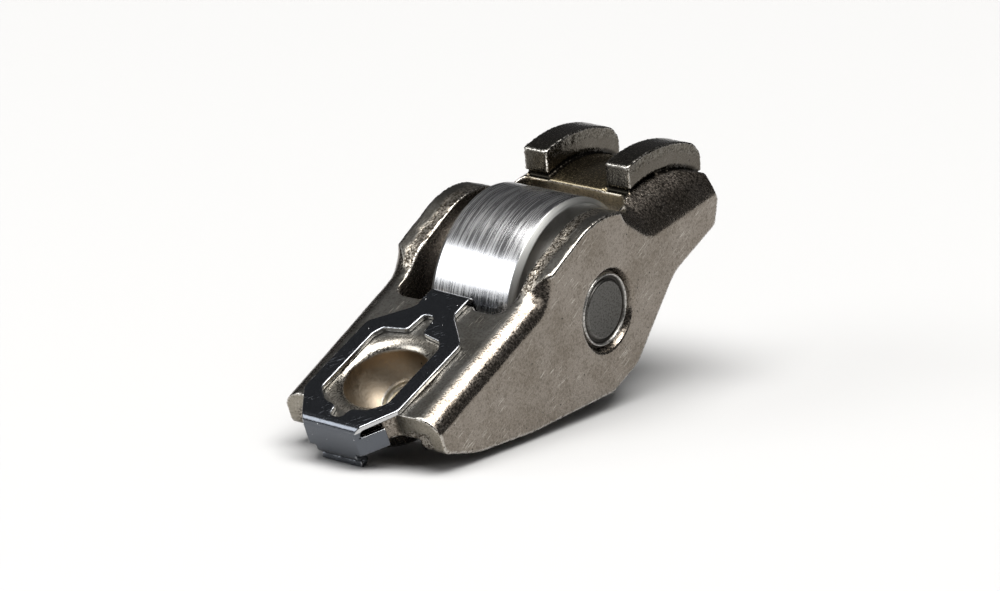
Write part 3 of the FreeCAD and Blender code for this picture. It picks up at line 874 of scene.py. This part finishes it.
def axle_profile():
    """Half section from one end's middle to the other's: disc, groove, ring, then the shank."""
    disc_y = axle_end - 0.10 * MM
    groove_y = axle_end - 0.30 * MM
    return mirrored([
        (0.0, disc_y),
        (axle_disc - 0.30 * MM, disc_y),
        (axle_disc - 0.22 * MM, disc_y + 0.025 * MM),
        (axle_disc - 0.13 * MM, disc_y + 0.02 * MM),
        (axle_disc - 0.05 * MM, disc_y - 0.06 * MM),
        (axle_disc + 0.04 * MM, groove_y),
        (axle_groove_end - 0.08 * MM, groove_y),
        (axle_groove_end, axle_end - 0.12 * MM),
        (axle_groove_end + 0.07 * MM, axle_end - 0.02 * MM),
        (axle_groove_end + 0.13 * MM, axle_end),
        (axle_groove_end + 0.20 * MM, axle_end - 0.05 * MM),
        (axle_radius - 0.08 * MM, axle_end - 0.20 * MM),
        (axle_radius, axle_end - 0.5 * MM),
    ])


def about_axle(tree, place):
    """A place's x, y and z from the roller's axis and its distance out, in millimetres."""
    split = put(tree, "SeparateXYZ", {"Vector": place}).outputs
    x = maths(tree, "SUBTRACT", split["X"], roller_axis[0] / MM)
    z = maths(tree, "SUBTRACT", split["Z"], roller_axis[2] / MM)
    out = maths(tree, "SQRT", maths(tree, "ADD", times(tree, x, x), times(tree, z, z)))
    return x, split["Y"], z, out


def axle_steel():
    """Matt grey disc, a groove painted dark as shade and a burnished ring, told apart by the
    distance to the axis."""
    material, shader = new_material("axle_steel")
    tree = material.node_tree
    place = object_place(tree)
    fine = use_group(tree, blasted_grain, {"Place": place, "Cell": 0.18})["Height"]
    out = about_axle(tree, place)[3]
    disc = axle_disc / MM
    groove_end = axle_groove_end / MM
    ring = ramp(tree, out, groove_end - 0.08, groove_end + 0.06)
    past_disc = ramp(tree, out, disc - 0.04, disc + 0.04)
    groove = times(tree, past_disc, ramp(tree, out, groove_end + 0.04, groove_end - 0.08))
    from_lip = ramp(tree, out, disc - 0.30, disc - 0.24)
    lip = times(tree, from_lip, ramp(tree, out, disc - 0.02, disc - 0.08))
    colour = mix_tone(tree, ring, axle_grey, axle_ring_grey)
    # Painted shade: the groove between disc and ring is darkened.
    colour = mix_tone(tree, groove, colour, axle_groove_shade_and_specks)
    specks = ramp(tree, fine, 0.55, 0.35, 0.0, axle_speck_share)
    colour = mix_tone(tree, specks, colour, axle_groove_shade_and_specks)
    rough = times_plus(tree, most(tree, ring, lip), -axle_burnish, axle_rough)
    steel_surface(tree, shader, colour, rough, fine, axle_bump)
    return material


axle_points, axle_faces = turned_solid(axle_profile(), roller_axis, turned_steps)
add_piece("axle", axle_points, axle_faces, axle_steel(), "lever", ["axle_pin"])

# Roller: a ring of bearing steel, turned, hardened, then ground round. The wheel leaves fine
# lines that run round it, and its rims are chamfered.
roller_steps = 384
roller_low, roller_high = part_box("roller_ring")
roller_radius = (roller_high.z - roller_low.z) / 2
roller_half = (roller_high.y - roller_low.y) / 2
roller_bore = 5.56 * MM
roller_chamfer = 0.5 * MM
roller_round = 0.09 * MM
bore_chamfer = 0.25 * MM
roller_tone = (0.48, 0.48, 0.485, 1.0)
roller_shade = (0.37, 0.37, 0.38, 1.0)
roller_rim = (0.30, 0.30, 0.29, 1.0)
coarse_share = 0.25
line_range = (0.38, 0.6)
line_rough_range = (0.40, 0.60)
roller_rough = (0.19, 0.31)
roller_rim_rough = 0.2
roller_bump = 0.004 * MM


def roller_profile():
    """Section of the ring: bore, face, chamfer and tread, with small rounded corners."""
    corners = mirrored([
        (roller_bore, roller_half - bore_chamfer),
        (roller_bore + bore_chamfer, roller_half),
        (roller_radius - roller_chamfer, roller_half),
        (roller_radius, roller_half - roller_chamfer),
    ])
    return rounded_profile(corners, roller_round)


def make_ground_lines():
    """Grinding lines round the axis: noise over (x / out, z / out) and y, in which a line is
    one Spacing wide and longer than that by a factor that grows with Stretch."""
    sockets = [
        ("Place", "NodeSocketVector", None),
        ("Spacing", "NodeSocketFloat", 0.1),
        ("Stretch", "NodeSocketFloat", 0.6),
    ]
    group, start, end = new_group("ground_lines", sockets, [("Height", "NodeSocketFloat")])
    x, y, z, out = about_axle(group, start.outputs["Place"])
    along = times(group, start.outputs["Stretch"], start.outputs["Spacing"])
    along_scale = maths(group, "DIVIDE", 1.0, along)
    spot = put(group, "CombineXYZ", {
        "X": times(group, maths(group, "DIVIDE", x, out), along_scale),
        "Y": maths(group, "DIVIDE", y, start.outputs["Spacing"]),
        "Z": times(group, maths(group, "DIVIDE", z, out), along_scale),
    }).outputs[0]
    spots = {"Vector": spot, "Scale": 1.0, "Detail": 2.0, "Roughness": 0.6}
    wire(group, end.inputs["Height"], put(group, "TexNoise", spots).outputs["Fac"])
    return group


ground_lines = make_ground_lines()


def roller_steel():
    """Ground bearing steel with lines round the tread and duller chamfers."""
    material, shader = new_material("ground_roller_steel")
    tree = material.node_tree
    place = object_place(tree)
    narrow = {"Place": place, "Spacing": 0.09, "Stretch": 6.0}
    wide = {"Place": place, "Spacing": 0.45, "Stretch": 1.5}
    fine = use_group(tree, ground_lines, narrow)["Height"]
    coarse = use_group(tree, ground_lines, wide)["Height"]
    lines = times_plus(tree, coarse, coarse_share, times(tree, fine, 1 - coarse_share))
    colour = mix_tone(tree, ramp(tree, lines, *line_range), roller_shade, roller_tone)
    off_middle = put(tree, "SeparateXYZ", {"Vector": place}).outputs["Y"]
    off_middle = maths(tree, "ABSOLUTE", off_middle)
    tread_end = (roller_half - roller_chamfer) / MM
    rim = ramp(tree, off_middle, tread_end - 0.02, tread_end + 0.03)
    colour = mix_tone(tree, rim, colour, roller_rim)
    rough = ramp(tree, lines, *line_rough_range, *roller_rough)
    rough = times_plus(tree, rim, roller_rim_rough, rough)
    steel_surface(tree, shader, colour, rough, lines, roller_bump)
    return material


roller_points, roller_faces = turned_ring(roller_profile(), roller_axis, roller_steps)
add_piece(
    "roller", roller_points, roller_faces.tolist(), roller_steel(),
    "roller", ["roller_ring"],
)

# Thrust washers: a thin hardened washer each side, between wall and roller, that keeps the
# needles in.
washer_round = 0.06 * MM
washer_play = 0.02 * MM
washer_tone = (0.30, 0.29, 0.28, 1.0)
washer_rough = 0.4
washer_bump = 0.004 * MM
plain_cell = 0.15
plain_dark = 0.72
plain_range = (0.35, 0.6)
plain_spread = 0.05


def plain_steel(name, tone, rough, bump_height):
    """Hardened steel with a fine even grain."""
    material, shader = new_material(name)
    tree = material.node_tree
    grain = use_group(tree, blasted_grain, {"Place": object_place(tree), "Cell": plain_cell})
    dark = tuple(plain_dark * part for part in tone[:3]) + (1.0,)
    colour = mix_tone(tree, ramp(tree, grain["Tone"], *plain_range), dark, tone)
    spread = ramp(tree, grain["Height"], *grain_range, rough - plain_spread, rough + plain_spread)
    steel_surface(tree, shader, colour, spread, grain["Height"], bump_height)
    return material


washer_material = plain_steel("washer_steel", washer_tone, washer_rough, washer_bump)
for node in ("thrust_washer_near", "thrust_washer_far"):
    low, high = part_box(node)
    outer = (high.z - low.z) / 2
    inner = axle_radius + washer_play
    section = [(outer, low.y), (outer, high.y), (inner, high.y), (inner, low.y)]
    section = rounded_profile(section, washer_round)
    points, faces = turned_ring(section, roller_axis * (1, 0, 1), turned_steps)
    faces = faces.tolist()
    add_piece(node + "_turned", points, faces, washer_material, "lever", [node])

# Needles: fourteen ground needles with rounded ends, which roll between axle and ring.
needle_steps = 32
needle_round = 0.25 * MM
needle_tone = (0.62, 0.62, 0.63, 1.0)
needle_rough = 0.2
needle_bump = 0.002 * MM
needle_corner_steps = 6

needle_material = plain_steel("needle_steel", needle_tone, needle_rough, needle_bump)
for node in sorted(n for n in frame["nodes"] if n.startswith("needle_roller_")):
    low, high = (np.array(corner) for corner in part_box(node))
    radius = (high[2] - low[2]) / 2
    middle = (low + high) / 2
    reach = (high[1] - low[1]) / 2
    corners = [(0, reach), (radius, reach), (radius, 0)]
    arcs = rounded_profile(corners, needle_round, needle_corner_steps)
    outer_arc = arcs[needle_corner_steps:2 * needle_corner_steps]
    profile = mirrored([(0.0, reach)] + outer_arc.tolist())
    points, faces = turned_solid(profile, middle, needle_steps)
    add_piece(node + "_ground", points, faces, needle_material, "needles", [node])
